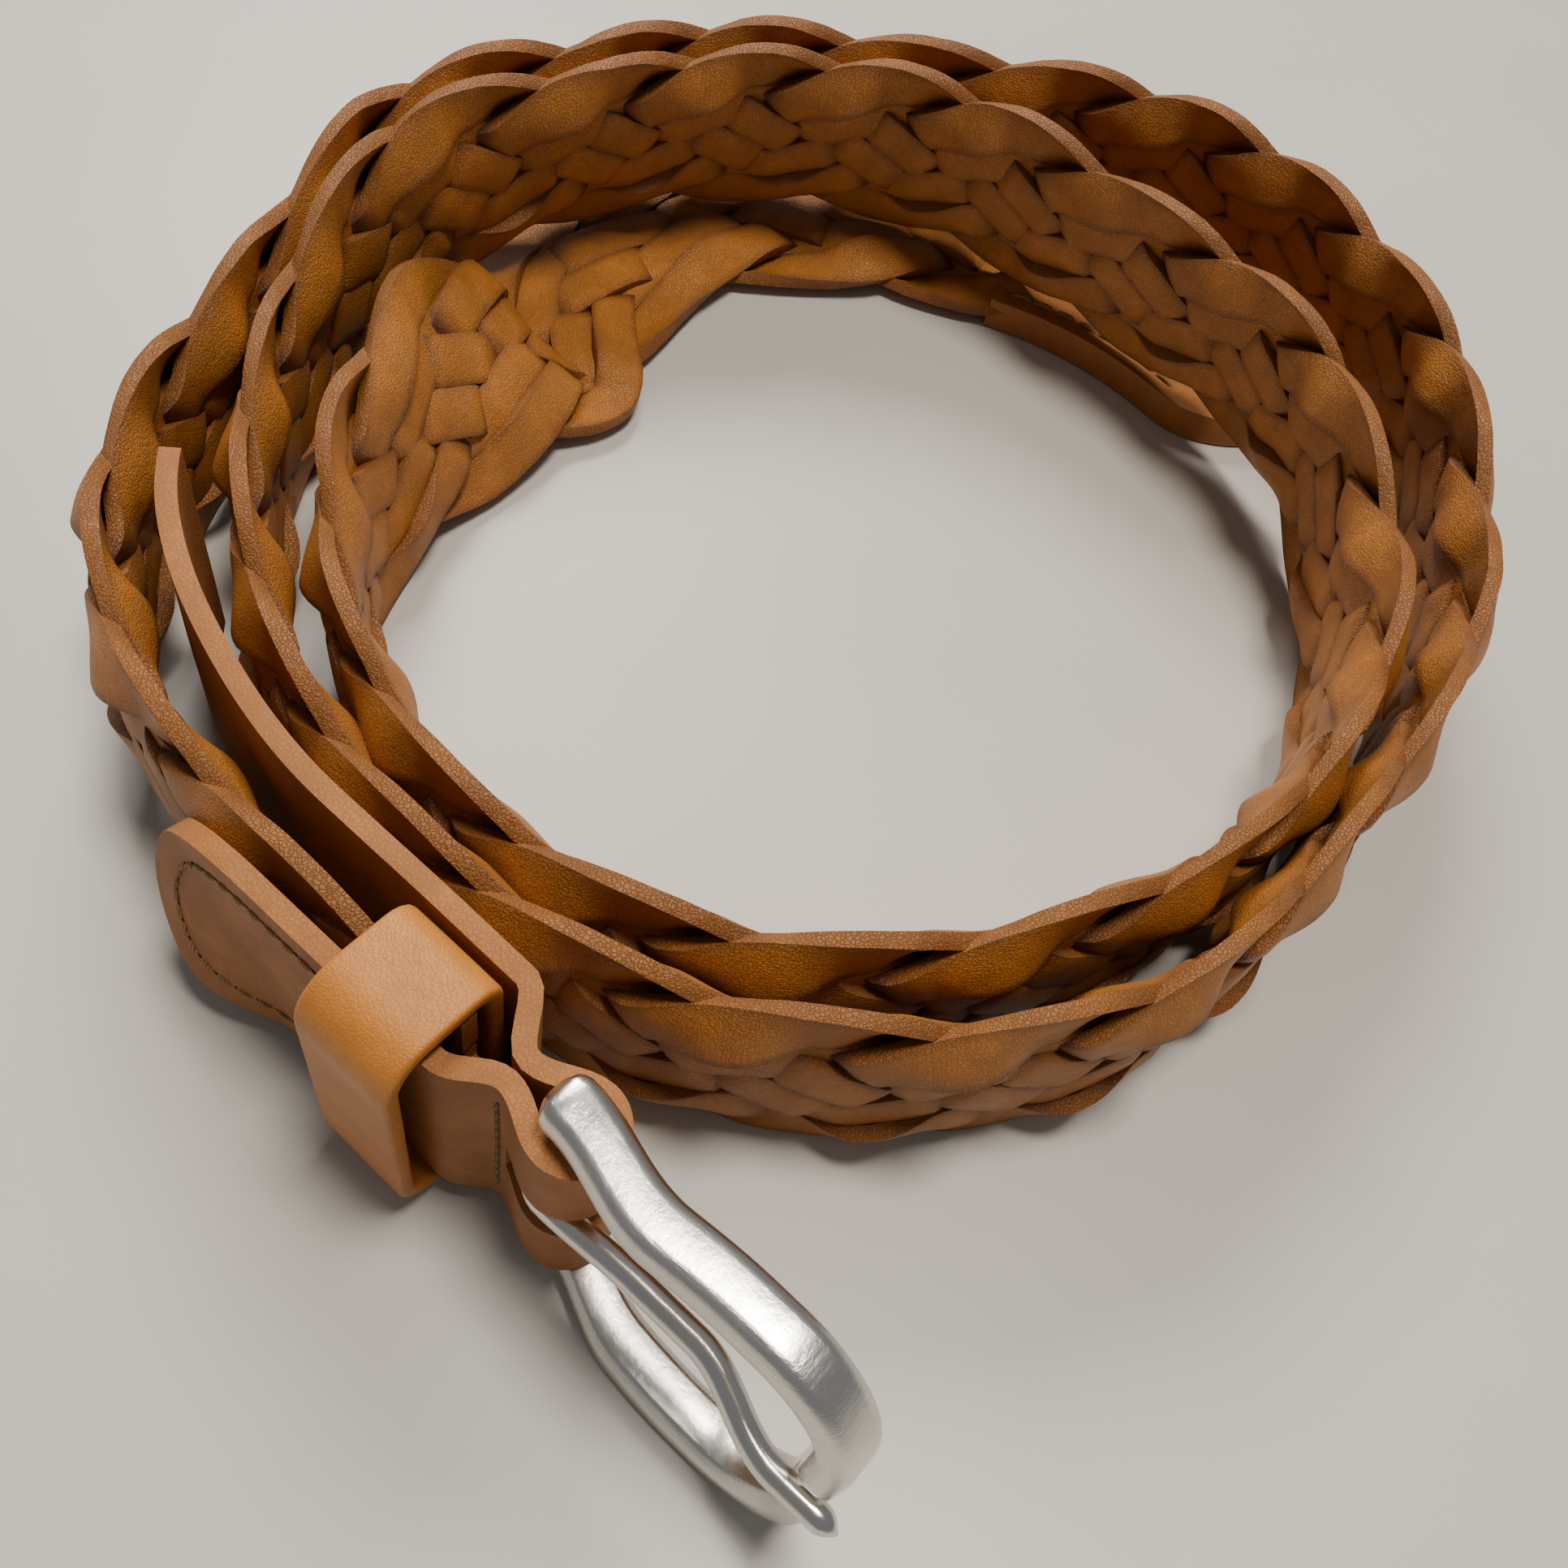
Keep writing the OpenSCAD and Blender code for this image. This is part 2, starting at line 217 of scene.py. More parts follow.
def tidy_normals(piece, merge=1e-6, cap=False):
    """Merges doubled points, closes the ends if asked and turns all faces outwards."""
    only(piece)
    bpy.ops.object.mode_set(mode="EDIT")
    bpy.ops.mesh.select_all(action="SELECT")
    if merge:
        bpy.ops.mesh.remove_doubles(threshold=merge)
    if cap:
        bpy.ops.mesh.fill_holes(sides=0)
        bpy.ops.mesh.select_all(action="SELECT")
    bpy.ops.mesh.normals_make_consistent(inside=False)
    bpy.ops.object.mode_set(mode="OBJECT")


def smooth(piece, angle=40):
    only(piece)
    bpy.ops.object.shade_smooth_by_angle(angle=math.radians(angle))


def thicken(piece, thickness, round_edge, segments=2, limit=50):
    """Gives a laid sheet its thickness and rounds its cut edges."""
    add_modifier(piece, "SOLIDIFY", thickness=thickness, offset=0.0,
                 use_rim=True, material_offset_rim=1)
    tidy_normals(piece, merge=0)
    add_modifier(piece, "BEVEL", width=round_edge, segments=segments,
                 limit_method="ANGLE", angle_limit=math.radians(limit),
                 use_clamp_overlap=True)
    smooth(piece, 60)


def tube(name, spine, radius, sides=16):
    """A round wire through points; radius(i) in metres, ends closed."""
    count = len(spine)

    def place(u, v):
        i = min(count - 1, int(round(u * (count - 1))))
        a = spine[max(0, i - 1)]
        b = spine[min(count - 1, i + 1)]
        along = (b - a).normalized()
        across = along.cross(Vector((0, 0, 1)))
        across = across.normalized() if across.length > 1e-4 else Vector((1, 0, 0))
        other = along.cross(across)
        turn = 2 * math.pi * v
        return spine[i] + radius(i) * (across * math.cos(turn) + other * math.sin(turn))

    piece, _ = grid_piece(name, count - 1, sides, place, (0.1, 0.01))
    tidy_normals(piece, merge=1e-6, cap=True)
    return piece


def join(pieces, name):
    deselect()
    for piece in pieces:
        piece.select_set(True)
    bpy.context.view_layer.objects.active = pieces[0]
    bpy.ops.object.join()
    pieces[0].name = name
    pieces[0].data.name = name
    return pieces[0]


def dress(piece, body, slot, *materials, replaces=()):
    """Gives a piece its finishes and its body, and hides the nodes it replaces; the slot is
    not used.
    """
    piece.data.materials.clear()
    for material in materials:
        piece.data.materials.append(material)
    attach(piece, body)
    if replaces:
        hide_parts(*replaces)
    return piece


# ---------------------------------------------------------------- materials
def new_group(name, inputs, outputs):
    tree = bpy.data.node_groups.new(name, "ShaderNodeTree")
    for label, kind, value in inputs:
        socket = tree.interface.new_socket(name=label, in_out="INPUT", socket_type=kind)
        if value is not None:
            socket.default_value = value
    for label, kind in outputs:
        tree.interface.new_socket(name=label, in_out="OUTPUT", socket_type=kind)
    return tree, tree.nodes.new("NodeGroupInput"), tree.nodes.new("NodeGroupOutput")


def node(tree, kind, **values):
    made = tree.nodes.new(kind)
    for key, value in values.items():
        if key in made.inputs:
            made.inputs[key].default_value = value
        else:
            setattr(made, key, value)
    return made


def math_node(tree, operation, a, b=None, clamp=False):
    made = tree.nodes.new("ShaderNodeMath")
    made.operation = operation
    made.use_clamp = clamp
    for socket, value in zip(made.inputs, (a, b)):
        if value is None:
            continue
        if isinstance(value, (int, float)):
            socket.default_value = value
        else:
            tree.links.new(value, socket)
    return made.outputs[0]


def colour_mix(tree, factor, a, b, blend="MIX"):
    made = tree.nodes.new("ShaderNodeMix")
    made.data_type = "RGBA"
    made.blend_type = blend
    for socket, value in ((made.inputs[0], factor), (made.inputs[6], a), (made.inputs[7], b)):
        if isinstance(value, (int, float)):
            socket.default_value = value
        elif isinstance(value, (tuple, list)):
            socket.default_value = (*value, 1.0)[:4]
        else:
            tree.links.new(value, socket)
    return made.outputs[2]


def range_of(tree, value, low, high, to_low=0.0, to_high=1.0):
    made = tree.nodes.new("ShaderNodeMapRange")
    made.clamp = True
    tree.links.new(value, made.inputs[0])
    for i, number in enumerate((low, high, to_low, to_high)):
        made.inputs[i + 1].default_value = number
    return made.outputs[0]


def grain_group():
    """Hide grain: pores, a fine cell pattern and soft wrinkles."""
    tree, inside, out = new_group(
        "Hide grain",
        [("Vector", "NodeSocketVector", None), ("Cell", "NodeSocketFloat", 2200.0)],
        [("Height", "NodeSocketFloat"), ("Tone", "NodeSocketFloat")])
    link = tree.links.new
    warp = node(tree, "ShaderNodeTexNoise", Scale=420.0, Detail=3.0)
    link(inside.outputs["Vector"], warp.inputs["Vector"])
    shift = tree.nodes.new("ShaderNodeVectorMath")
    shift.operation = "SCALE"
    shift.inputs["Scale"].default_value = 0.0009
    link(warp.outputs["Color"], shift.inputs[0])
    moved = tree.nodes.new("ShaderNodeVectorMath")
    link(inside.outputs["Vector"], moved.inputs[0])
    link(shift.outputs[0], moved.inputs[1])
    cells = node(tree, "ShaderNodeTexVoronoi", feature="DISTANCE_TO_EDGE")
    link(moved.outputs[0], cells.inputs["Vector"])
    link(inside.outputs["Cell"], cells.inputs["Scale"])
    cell = range_of(tree, cells.outputs["Distance"], 0.0, 0.16)
    fine = node(tree, "ShaderNodeTexNoise", Scale=2600.0, Detail=4.0, Roughness=0.6)
    link(inside.outputs["Vector"], fine.inputs["Vector"])
    wide = node(tree, "ShaderNodeTexNoise", Scale=130.0, Detail=5.0, Roughness=0.62)
    link(inside.outputs["Vector"], wide.inputs["Vector"])
    pores = math_node(tree, "MULTIPLY", fine.outputs["Fac"], 0.3)
    creases = math_node(tree, "MULTIPLY", wide.outputs["Fac"], 0.9)
    height = math_node(tree, "MULTIPLY", cell, 0.16)
    height = math_node(tree, "ADD", height, pores)
    height = math_node(tree, "ADD", height, creases)
    tone = math_node(tree, "MULTIPLY", wide.outputs["Fac"], 0.75)
    tone = math_node(tree, "ADD", tone, math_node(tree, "MULTIPLY", cell, 0.08))
    link(height, out.inputs["Height"])
    link(tone, out.inputs["Tone"])
    return tree


def fibre_group():
    """Raw fibres of a cut edge, stretched along the strand."""
    tree, inside, out = new_group(
        "Cut fibres", [("Vector", "NodeSocketVector", None)],
        [("Height", "NodeSocketFloat"), ("Tone", "NodeSocketFloat")])
    link = tree.links.new
    coarse = node(tree, "ShaderNodeTexNoise", Scale=1150.0, Detail=6.0, Roughness=0.8)
    fine = node(tree, "ShaderNodeTexNoise", Scale=3800.0, Detail=5.0, Roughness=0.7)
    for made in (coarse, fine):
        link(inside.outputs["Vector"], made.inputs["Vector"])
    height = math_node(tree, "ADD", coarse.outputs["Fac"],
                       math_node(tree, "MULTIPLY", fine.outputs["Fac"], 0.6))
    link(height, out.inputs["Height"])
    link(coarse.outputs["Fac"], out.inputs["Tone"])
    return tree


def start_material(name, **sockets):
    material = bpy.data.materials.new(name)
    material.use_nodes = True
    tree = material.node_tree
    shader = tree.nodes["Principled BSDF"]
    for key, value in sockets.items():
        shader.inputs[key.replace("_", " ")].default_value = value
    return material, tree, shader


def add_bump(tree, shader, height, distance, strength=1.0):
    bump = tree.nodes.new("ShaderNodeBump")
    bump.inputs["Distance"].default_value = distance
    bump.inputs["Strength"].default_value = strength
    tree.links.new(height, bump.inputs["Height"])
    tree.links.new(bump.outputs["Normal"], shader.inputs["Normal"])


def place_group(tree, group, coords, **values):
    made = tree.nodes.new("ShaderNodeGroup")
    made.node_tree = group
    tree.links.new(coords.outputs["Object"], made.inputs["Vector"])
    for key, value in values.items():
        made.inputs[key].default_value = value
    return made


def leather(name, grain, pale, deep, low_rough, high_rough, cell=2200.0,
            depth=0.00022, shade_to=None, specular=0.45):
    """Dyed hide: tone drifts over the surface, and a painted shade, when given, darkens it
    deep in the weave.
    """
    material, tree, shader = start_material(name, Specular_IOR_Level=specular)
    coords = tree.nodes.new("ShaderNodeTexCoord")
    skin = place_group(tree, grain, coords, Cell=cell)
    tone = range_of(tree, skin.outputs["Tone"], 0.38, 0.78)
    colour = colour_mix(tree, tone, deep, pale)
    blotch = node(tree, "ShaderNodeTexNoise", Scale=38.0, Detail=3.0)
    tree.links.new(coords.outputs["Object"], blotch.inputs["Vector"])
    drift = range_of(tree, blotch.outputs["Fac"], 0.35, 0.7, 0.0, 0.35)
    colour = colour_mix(tree, drift, colour, tuple(c * 0.62 for c in pale))
    # Painted shade: the strands' 'shade' attribute pulls the hide towards the shade colour in
    # the weave's crevices.
    if shade_to:
        painted_shade = tree.nodes.new("ShaderNodeAttribute")
        painted_shade.attribute_name = "shade"
        colour = colour_mix(tree, painted_shade.outputs["Fac"], colour, shade_to)
    tree.links.new(colour, shader.inputs["Base Color"])
    rough = range_of(tree, skin.outputs["Tone"], 0.3, 0.8, high_rough, low_rough)
    tree.links.new(rough, shader.inputs["Roughness"])
    add_bump(tree, shader, skin.outputs["Height"], depth)
    return material


def cut_edge(name, fibre, pale, deep, depth=0.0009, rough=0.9):
    """The cut side of leather: raw fibres, or a burnished edge when shallow."""
    material, tree, shader = start_material(name, Specular_IOR_Level=0.2)
    coords = tree.nodes.new("ShaderNodeTexCoord")
    made = place_group(tree, fibre, coords)
    tone = range_of(tree, made.outputs["Tone"], 0.4, 0.6)
    colour = colour_mix(tree, tone, deep, pale)
    tree.links.new(colour, shader.inputs["Base Color"])
    shader.inputs["Roughness"].default_value = rough
    add_bump(tree, shader, made.outputs["Height"], depth)
    return material


def metal(name, colour, low_rough, high_rough, scratch=1.0):
    """Satin nickel silver with fine scratches and soft cloudy wear."""
    material, tree, shader = start_material(name, Metallic=1.0)
    coords = tree.nodes.new("ShaderNodeTexCoord")
    mapping = tree.nodes.new("ShaderNodeMapping")
    mapping.inputs["Rotation"].default_value = (0, 0, math.radians(27))
    mapping.inputs["Scale"].default_value = (1.0, 1.0, 9.0)
    tree.links.new(coords.outputs["Object"], mapping.inputs["Vector"])
    lines = node(tree, "ShaderNodeTexNoise", Scale=520.0, Detail=6.0, Roughness=0.7)
    tree.links.new(mapping.outputs["Vector"], lines.inputs["Vector"])
    cloud = node(tree, "ShaderNodeTexNoise", Scale=160.0, Detail=4.0)
    tree.links.new(coords.outputs["Object"], cloud.inputs["Vector"])
    wear = math_node(tree, "ADD", math_node(tree, "MULTIPLY", lines.outputs["Fac"], 0.5),
                     math_node(tree, "MULTIPLY", cloud.outputs["Fac"], 0.5))
    tree.links.new(range_of(tree, wear, 0.35, 0.68, low_rough, high_rough),
                   shader.inputs["Roughness"])
    tone = range_of(tree, wear, 0.35, 0.65)
    tree.links.new(colour_mix(tree, tone, colour, tuple(c * 0.88 for c in colour)),
                   shader.inputs["Base Color"])
    add_bump(tree, shader, lines.outputs["Fac"], 0.00005 * scratch)
    return material


def thread_material(colour):
    """Twisted thread with a dull waxed surface."""
    material, tree, shader = start_material("Waxed thread", Specular_IOR_Level=0.35)
    coords = tree.nodes.new("ShaderNodeTexCoord")
    twist = node(tree, "ShaderNodeTexWave", Scale=900.0, Distortion=1.5, Detail=2.0)
    tree.links.new(coords.outputs["Object"], twist.inputs["Vector"])
    tone = twist.outputs["Fac"]
    tree.links.new(colour_mix(tree, tone, tuple(c * 0.6 for c in colour), colour),
                   shader.inputs["Base Color"])
    shader.inputs["Roughness"].default_value = 0.6
    add_bump(tree, shader, tone, 0.00012)
    return material


LIBRARY = {}


def finishes():
    """All finishes of the belt, built once."""
    if LIBRARY:
        return LIBRARY
    tint = bpy.context.scene.belt_colours
    grain = grain_group()
    fibre = fibre_group()
    hide = tuple(tint.hide)
    deep = tuple(c * 0.5 for c in hide)
    LIBRARY["strand"] = leather("Tan braid hide", grain, hide, deep, 0.36, 0.55,
                                shade_to=tuple(tint.crevice_shade), depth=0.00045)
    LIBRARY["raw"] = cut_edge("Raw cut edge", fibre, tuple(tint.raw_edge),
                              tuple(c * 0.16 for c in tint.raw_edge))
    strap = tuple(tint.strap)
    LIBRARY["strap"] = leather("Strap hide", grain, strap, tuple(c * 0.6 for c in strap),
                               0.5, 0.68, cell=1900.0, depth=0.0002)
    LIBRARY["burnished"] = cut_edge("Burnished edge", fibre,
                                    tuple(c * 0.95 for c in hide),
                                    tuple(c * 0.72 for c in hide), 0.00007, 0.45)
    LIBRARY["keeper"] = leather("Keeper hide", grain, tuple(c * 1.06 for c in hide),
                                tuple(c * 0.72 for c in hide), 0.34, 0.5, cell=2000.0,
                                depth=0.00016)
    LIBRARY["thread"] = thread_material(tuple(tint.thread))
    # Painted shade: the needle holes are near-black, standing in for the shaded depth of each
    # hole.
    LIBRARY["hole"] = cut_edge("Needle hole shade", fibre, (0.05, 0.025, 0.012),
                               (0.02, 0.01, 0.006), 0.0001, 0.9)
    LIBRARY["metal"] = metal("Satin nickel silver", tuple(tint.metal), 0.17, 0.3)
    LIBRARY["wire"] = metal("Drawn nickel silver", tuple(tint.metal), 0.13, 0.26, 0.5)
    return LIBRARY


# ----------------------------------------------------------------- settings
class BeltSizes(bpy.types.PropertyGroup):
    """Sizes that a maker would change, in metres."""
    belt_width: FloatProperty(name="Belt width", description="Width of the braid",
                              default=0.032, min=0.02, max=0.05, unit="LENGTH")
    strand_width: FloatProperty(name="Strand width", description="Width of one strand",
                                default=0.0063, min=0.004, max=0.012, unit="LENGTH")
    strand_thickness: FloatProperty(name="Strand thickness",
                                    description="Thickness of one strand",
                                    default=0.0019, min=0.001, max=0.003, unit="LENGTH")
    weave_length: FloatProperty(name="Weave length",
                                description="Distance over which a strand returns",
                                default=0.0954, min=0.06, max=0.14, unit="LENGTH")
    strap_thickness: FloatProperty(name="Strap thickness",
                                   description="Thickness of the buckle strap",
                                   default=0.0023, min=0.001, max=0.003, unit="LENGTH")


class BeltColours(bpy.types.PropertyGroup):
    """Colours of the belt's finishes and of the painted shade in the weave."""
    hide: FloatVectorProperty(name="Hide", description="Grain side of the strands",
                              default=(0.66, 0.235, 0.030), size=3, subtype="COLOR",
                              min=0, max=1)
    # Painted shade: the colour that the weave's crevices and the strands' rims darken
    # towards.
    crevice_shade: FloatVectorProperty(name="Crevice shade", description="Painted shade deep in the weave",
                                 default=(0.08, 0.024, 0.007), size=3, subtype="COLOR",
                                 min=0, max=1)
    raw_edge: FloatVectorProperty(name="Cut edge", description="Raw edge of the strands",
                                  default=(0.54, 0.225, 0.055), size=3, subtype="COLOR",
                                  min=0, max=1)
    strap: FloatVectorProperty(name="Strap", description="Buckle strap",
                               default=(0.50, 0.180, 0.034), size=3, subtype="COLOR",
                               min=0, max=1)
    thread: FloatVectorProperty(name="Thread", description="Stitches",
                                default=(0.40, 0.21, 0.085), size=3, subtype="COLOR",
                                min=0, max=1)
    metal: FloatVectorProperty(name="Metal", description="Buckle and prong",
                               default=(0.80, 0.77, 0.72), size=3, subtype="COLOR",
                               min=0, max=1)
    floor: FloatVectorProperty(name="Floor", description="Table top",
                               default=(0.57, 0.54, 0.49), size=3, subtype="COLOR",
                               min=0, max=1)


# ------------------------------------------------------------------- braid
STEPS = 16
PAIR_STEPS = 8.0
PEAK = 0.045
STRAND_COUNT = 8
STRAND_CELLS = (1200, 6)
PAIR_GAP = 0.12
RISE = 1.2
CROWN = 0.28
LEAF_TURN = 1.6
SQUEEZE_FROM = 36
SQUEEZE_RUN = 9
SQUEEZED = 0.33
BRAID_START = BAR + 13.5
# Side of the braid on which a pair lies, from its top edge (0) to its low edge (4).
PAIR_KEYS = [(0, 0), (0.62, 1), (1.3, 1), (1.7, -1), (2.3, -1), (2.7, 1), (3.38, 1),
             (4, 0)]


def pair_side(x):
    """Outwards +1, inwards -1: pairs go over and under, and wrap at the edges."""
    x = x % PAIR_STEPS
    if x >= 4:
        return -pair_side(x - 4)
    for (a, fa), (b, fb) in zip(PAIR_KEYS, PAIR_KEYS[1:]):
        if x <= b:
            return ease(fa, fb, (x - a) / (b - a))
    return 0.0


def pair_phase(run, k, upper, weave):
    """Angle of a strand's swing and the side of the braid that it lies on."""
    x = run / weave * PAIR_STEPS + 2 * (k // 2)
    turn = 2 * math.pi * x / PAIR_STEPS
    return turn, pair_side(x - 0.1 * upper * math.sin(turn))


def braid_length(weave):
    """Length of the braid, in whole steps of the weave that fit the route."""
    step = weave / STEPS
    end = ARC[int(TRAVEL_END // ARC_STEP)]
    return step * math.floor((end - BRAID_START) / step)


class BELT_OT_strands(bpy.types.Operator):
    """Weave the eight strands of the braid"""
    bl_idname = "belt.weave_strands"
    bl_label = "Weave the strands"

    def execute(self, context):
        sizes = context.scene.belt_sizes
        width = sizes.belt_width / MM
        broad = sizes.strand_width / MM
        thick = sizes.strand_thickness / MM
        weave = sizes.weave_length / MM
        beside = broad / 2 + PAIR_GAP / 2
        swing = (width - 2 * broad - PAIR_GAP) / 2
        length = braid_length(weave)
        look = finishes()
        for k in range(STRAND_COUNT):
            seed = 3.7 * k
            upper = 1 if k % 2 else -1

            def place(u, v, k=k, seed=seed, upper=upper):
                s = BRAID_START + u * length
                turn, over = pair_phase(s - BRAID_START, k, upper, weave)
                wander = noise.noise(Vector((s * 0.05, seed, 0.0)))
                slope = -swing * (math.sin(turn) + 3 * PEAK * math.sin(3 * turn))
                slope *= 2 * math.pi / weave / (1 + PEAK)
                size = math.sqrt(1 + slope * slope)
                edge = math.cos(turn)
                leaf = ease(0.0, 1.0, (abs(edge) - 0.5) / 0.35)
                outer = 1 if edge * upper > 0 else 0
                y = 2 * v - 1
                rim = y if edge > 0 else -y
                half = broad / 2 * (1 + 0.04 * wander)
                if outer and rim < 0:
                    half *= 1 + 0.16 * leaf
                ragged = 0.09 * noise.noise(Vector((s * 0.6, seed + 9 * y, 4.0)))
                side = upper * beside + y * half + (ragged if abs(y) > 0.9 else 0.0)
                n = over * (RISE + (0.4 * leaf if outer else -0.05 * leaf))
                n += 0.14 * noise.noise(Vector((s * 0.11, seed, 7.0)))
                n += CROWN * (1 - y * y) * over
                if outer:
                    n -= LEAF_TURN * over * rim * leaf
                path = (edge + PEAK * math.cos(3 * turn)) / (1 + PEAK)
                w = width / 2 + swing * path + side / size
                n *= ease(SQUEEZED, 1.0, (s - BAR - SQUEEZE_FROM) / SQUEEZE_RUN)
                spot = on_belt(s - slope * side / size, w, n)
                lying = abs(math.sin(math.radians(ramp(LEAN_KEYS, travel(s)))))
                spot.z = max(spot.z, (0.35 + 0.75 * lying) * MM)
                return spot

            piece, spots = grid_piece(f"woven_strand_{k + 1}", *STRAND_CELLS, place,
                                      (length * MM, broad * MM))
            # Painted shade: strongest where a pair turns under its neighbours inside the
            # weave, and along each strand's rims, where shade falls between strands.
            painted_shade = piece.data.attributes.new("shade", "FLOAT", "POINT")
            for i, (u, v) in enumerate(spots):
                turn, over = pair_phase(u * length, k, upper, weave)
                inner = 1.0 - ease(0.0, 1.0, abs(math.cos(turn)) * 2 - 1)
                sunk_shade = (1.0 - abs(over)) * inner
                painted_shade.data[i].value = min(1.0, sunk_shade + 0.5 * abs(2 * v - 1) ** 5)
            thicken(piece, thick * MM, 0.0003)
            dress(piece, "belt", "braid_leather", look["strand"], look["raw"],
                  replaces=(f"strand_{k + 1}",))
        return {"FINISHED"}


# ------------------------------------------------------------------- strap
OUTER_TAB = 53.0
INNER_TAB = 95.0
STRAP_Z = 4.8
STRAP_HEIGHT = 31.0
STRAP_MID = STRAP_Z + STRAP_HEIGHT / 2
FOLD = 3.8
PINCH_PLACE = 7.2
PINCH = 1.35
OUTER_N = 4.4
INNER_N = -6.7
INNER_RUN = 7.9
SLOT_HALF = 3.0
KEEPER_START = 13.2
KEEPER_LONG = 12.6
SLOT_RUN = 5.2
TAB_CORNER = 15.0
STRAP_ROWS = 44
LINE_STEP = 0.8
SPLAY = 2.6
SPLAY_FROM = 35
SPLAY_RUN = 14


def spread(d, far):
    """Half gap of the fold: wide at the bar, pinched at the cross seam, then far."""
    if d < PINCH_PLACE:
        return ease(FOLD, PINCH, d / PINCH_PLACE)
    return ease(PINCH, far, (d - PINCH_PLACE) / (KEEPER_START - PINCH_PLACE))


def inner_n(d):
    """Offset of the inner tab, which runs a little further in towards its end."""
    if d < KEEPER_START:
        return -spread(d, -INNER_N)
    return ease(INNER_N, -INNER_RUN, (d - 40) / 30)


def splay(d, z):
    """The outer tab springs away from the braid along its low edge."""
    low = max(0.0, 0.6 - z / (STRAP_HEIGHT / 2))
    return SPLAY * low ** 1.3 * ease(0.0, 1.0, (d - SPLAY_FROM) / SPLAY_RUN)


def strap_line():
    """Middle line of the strap as (distance, offset), from tab end to tab end."""
    line = [(d * LINE_STEP, spread(d * LINE_STEP, OUTER_N))
            for d in range(int(OUTER_TAB / LINE_STEP), 0, -1)]
    line.insert(0, (OUTER_TAB, OUTER_N))
    line += [(FOLD * math.cos(math.radians(a)), FOLD * math.sin(math.radians(a)))
             for a in range(90, 271, 6)]
    line += [(d * 1.0, inner_n(d)) for d in range(1, int(INNER_TAB) + 1)]
    return line


class BELT_OT_strap(bpy.types.Operator):
    """Fold the buckle strap round the bar and over the braid"""
    bl_idname = "belt.fold_strap"
    bl_label = "Fold the buckle strap"

    def execute(self, context):
        line = strap_line()
        count = len(line) - 1

        def place(u, v):
            i = min(count, int(round(u * count)))
            d, n = line[i]
            half = STRAP_HEIGHT / 2
            if i < count / 2:
                x = max(0.0, OUTER_TAB - d)
                if x < TAB_CORNER:
                    round_off = max(0.0, TAB_CORNER ** 2 - (TAB_CORNER - x) ** 2)
                    half += -TAB_CORNER + math.sqrt(round_off)
            wave = 0.12 * noise.noise(Vector((d * 0.06, v * 2.0, 3.0)))
            if i < count / 2:
                wave += splay(d, (2 * v - 1) * half)
            return at_bar(d, n + wave, STRAP_MID + (2 * v - 1) * half)

        piece, spots = grid_piece("buckle_strap", count, STRAP_ROWS, place,
                                  (0.16, 0.031))
        only(piece)
        for polygon in piece.data.polygons:
            u = sum(spots[i][0] for i in polygon.vertices) / 4
            v = sum(spots[i][1] for i in polygon.vertices) / 4
            d, n = line[min(count, int(u * count + 0.5))]
            z = (2 * v - 1) * STRAP_HEIGHT / 2
            polygon.select = abs(z) < SLOT_HALF and d < SLOT_RUN
        for vertex in piece.data.vertices:
            vertex.select = False
        for edge in piece.data.edges:
            edge.select = False
        bpy.ops.object.mode_set(mode="EDIT")
        bpy.ops.mesh.select_mode(type="FACE")
        bpy.ops.mesh.delete(type="FACE")
        bpy.ops.mesh.select_mode(type="VERT")
        bpy.ops.object.mode_set(mode="OBJECT")
        thicken(piece, context.scene.belt_sizes.strap_thickness, 0.0005, 3)
        look = finishes()
        dress(piece, "belt", "strap_leather", look["strap"], look["burnished"],
              replaces=("chape_strap",))
        return {"FINISHED"}


HALF_STRAP = 1.15
TAB_FACE = OUTER_N + HALF_STRAP
SEAM_IN = 3.6
PITCH = 2.35
SEAM_BEND = 11.6
SEAM_FROM = 28.3
THREAD_RADIUS = 0.0003
HOLE_RADII = (0.0005, 0.00048, 0.00036)
STITCH_MARGIN = 0.1


def seam_points():
    """The U of the tab's seam as (distance, height), evenly stepped."""
    low = STRAP_Z + SEAM_IN
    high = STRAP_Z + STRAP_HEIGHT - SEAM_IN
    far = OUTER_TAB - SEAM_IN
    bend = SEAM_BEND
    path = [(SEAM_FROM, low), (far - bend, low)]
    path += [(far - bend + bend * math.sin(a), low + bend - bend * math.cos(a))
             for a in [math.radians(x) for x in range(15, 91, 15)]]
    path += [(far - bend + bend * math.cos(a), high - bend + bend * math.sin(a))
             for a in [math.radians(x) for x in range(0, 91, 15)]]
    path += [(SEAM_FROM, high)]
    return path


def even_steps(path, pitch):
    """Points at even steps along a line of points."""
    total = sum(math.dist(a, b) for a, b in zip(path, path[1:]))
    count = max(1, round(total / pitch))
    step = total / count
    found, left = [path[0]], step
    for a, b in zip(path, path[1:]):
        size = math.dist(a, b)
        gone = 0.0
        while left <= size - gone + 1e-6:
            gone += left
            f = gone / size
            found.append((a[0] + (b[0] - a[0]) * f, a[1] + (b[1] - a[1]) * f))
            left = step
        left -= size - gone
    return found


